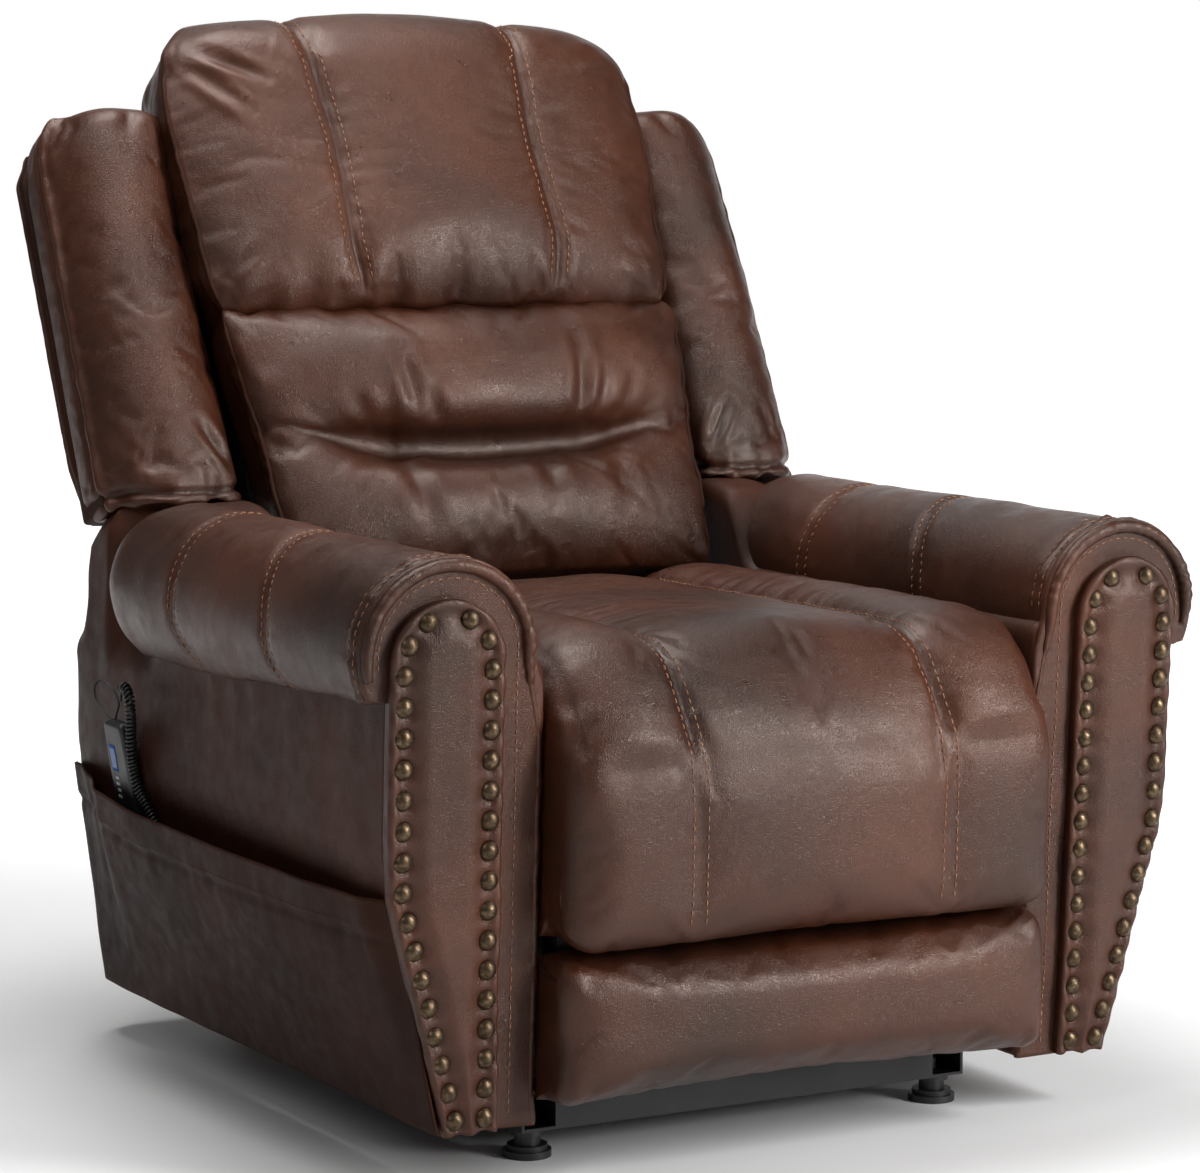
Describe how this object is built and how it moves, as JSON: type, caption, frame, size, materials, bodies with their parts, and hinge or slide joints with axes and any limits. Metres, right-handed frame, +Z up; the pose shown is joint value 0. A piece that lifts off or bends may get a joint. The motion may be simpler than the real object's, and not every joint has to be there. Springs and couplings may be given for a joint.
{
  "type": "lift recliner chair",
  "caption": "Powered lift recliner in brown leather with rolled nail-trimmed arms, winged back, tilting headrest, swing-out legrest and handset in a side pocket.",
  "frame": {"origin": "centre of the footprint at floor level, in the stored upright pose", "axes": "+Z up, the chair faces -Y, +X to the sitter's left"},
  "size_m": [0.934, 1.07, 1.129],
  "materials": {
    "black_steel": "satin",
    "bright_steel": "satin",
    "black_plastic": "matte",
    "leather": "satin",
    "dark_leather": "satin",
    "antique_brass": "satin",
    "plywood": "matte",
    "cord_rubber": "matte",
    "blue_print": "satin",
    "grey_button": "matte"
  },
  "bodies": {
    "base": {"base_rails": "black_steel", "base_crossbars": "black_steel", "levelling_feet": "black_plastic", "lift_pivot_plates": "black_steel", "lift_motor": "black_plastic", "power_supply": "black_plastic", "power_inlet": "black_plastic"},
    "lift_crank": {"lift_torque_shaft": "black_steel", "lift_arms": "black_steel"},
    "lift_stay_pair": {"lift_stays": "black_steel"},
    "chair": {"carriage_plates": "black_steel", "carriage_pins": "bright_steel", "seat_rails": "black_steel", "seat_crossrails": "black_steel", "seat_springs": "bright_steel", "motor_bars": "black_steel", "back_hinge_plates": "black_steel", "legrest_hinge_plates": "black_steel", "seat_cushion": "leather", "seat_rear_panel": "dark_leather", "arm_frames": "plywood", "arm_left": "leather", "arm_right": "leather", "side_panel_left": "dark_leather", "side_panel_right": "dark_leather", "arm_front_panels": "leather", "nailheads": "antique_brass", "arm_welts": "dark_leather", "handset_pocket": "dark_leather", "cord_grommet": "black_plastic", "handset_cord": "cord_rubber", "legrest_motor": "black_plastic", "recline_motor": "black_plastic"},
    "lift_drive": {"lift_rod": "bright_steel"},
    "back": {"back_posts": "plywood", "back_rails": "plywood", "recline_torque_tube": "black_steel", "back_shell": "dark_leather", "wing_left": "leather", "wing_right": "leather", "lower_back_cushion": "leather", "lumbar_cushion": "leather", "headrest_motor": "black_plastic"},
    "head": {"headrest_board": "plywood", "headrest_cushion": "leather", "headrest_hinge": "black_steel"},
    "leg": {"legrest_board": "plywood", "legrest_arms": "black_steel", "legrest_torque_tube": "black_steel", "calf_cushion": "leather", "foot_cushion": "leather"},
    "leg_drive": {"legrest_rod": "bright_steel"},
    "recline_drive": {"recline_rod": "bright_steel"},
    "handset": {"handset_case": "black_plastic", "handset_strap": "cord_rubber", "handset_label": "blue_print"},
    "button_up": {"button_up": "grey_button"},
    "button_down": {"button_down": "grey_button"},
    "button_head_up": {"button_head_up": "grey_button"},
    "button_head_down": {"button_head_down": "grey_button"}
  },
  "joints": [
    {"name": "lift", "type": "hinge", "parent": "base", "child": "lift_crank", "pos_m": [0, -0.225, 0.098], "axis": [1, 0, 0], "range_deg": [0, 52]},
    {"name": "carriage_tilt", "type": "hinge", "parent": "lift_crank", "child": "chair", "pos_m": [0, 0.099, 0.149], "axis": [1, 0, 0], "range_deg": [-27.9, 0]},
    {"name": "lift_stay_swing", "type": "hinge", "parent": "base", "child": "lift_stay_pair", "pos_m": [0, -0.27, 0.125], "axis": [1, 0, 0], "range_deg": [0, 54.5]},
    {"name": "lift_drive_stroke", "type": "slide", "parent": "base", "child": "lift_drive", "axis": [0, -0.9837, 0.1799], "range_m": [0, 0.0925]},
    {"name": "recline", "type": "hinge", "parent": "chair", "child": "back", "pos_m": [0, 0.2, 0.42], "axis": [-1, 0, 0], "range_deg": [0, 45]},
    {"name": "recline_drive_stroke", "type": "slide", "parent": "chair", "child": "recline_drive", "axis": [0, 0.9968, 0.0804], "range_m": [-0.0805, 0]},
    {"name": "legrest", "type": "hinge", "parent": "chair", "child": "leg", "pos_m": [0, -0.425, 0.43], "axis": [-1, 0, 0], "range_deg": [0, 80]},
    {"name": "legrest_drive_stroke", "type": "slide", "parent": "chair", "child": "leg_drive", "axis": [0, -0.9889, 0.1487], "range_m": [0, 0.1115]},
    {"name": "headrest", "type": "hinge", "parent": "back", "child": "head", "pos_m": [0, 0.37507, 0.74157], "axis": [1, 0, 0], "range_deg": [0, 25]},
    {"name": "handset_lift", "type": "slide", "parent": "chair", "child": "handset", "axis": [-0.165, 0, 0.9863], "range_m": [0, 0.08], "deforming": ["handset_cord"]},
    {"name": "press_up", "type": "slide", "parent": "handset", "child": "button_up", "axis": [0.9863, 0, 0.165], "range_m": [0, 0.0015], "stiffness_N_per_m": 200},
    {"name": "press_down", "type": "slide", "parent": "handset", "child": "button_down", "axis": [0.9863, 0, 0.165], "range_m": [0, 0.0015], "stiffness_N_per_m": 200},
    {"name": "press_head_up", "type": "slide", "parent": "handset", "child": "button_head_up", "axis": [0.9863, 0, 0.165], "range_m": [0, 0.0015], "stiffness_N_per_m": 200},
    {"name": "press_head_down", "type": "slide", "parent": "handset", "child": "button_head_down", "axis": [0.9863, 0, 0.165], "range_m": [0, 0.0015], "stiffness_N_per_m": 200}
  ],
  "couplings": [
    {"joint": "carriage_tilt", "follows": "lift", "ratio": -0.536},
    {"joint": "lift_stay_swing", "follows": "lift", "ratio": 1.046},
    {"joint": "lift_drive_stroke", "follows": "lift", "m_per_rad": 0.10176},
    {"joint": "recline_drive_stroke", "follows": "recline", "m_per_rad": -0.10239},
    {"joint": "legrest_drive_stroke", "follows": "legrest", "m_per_rad": 0.07974}
  ]
}
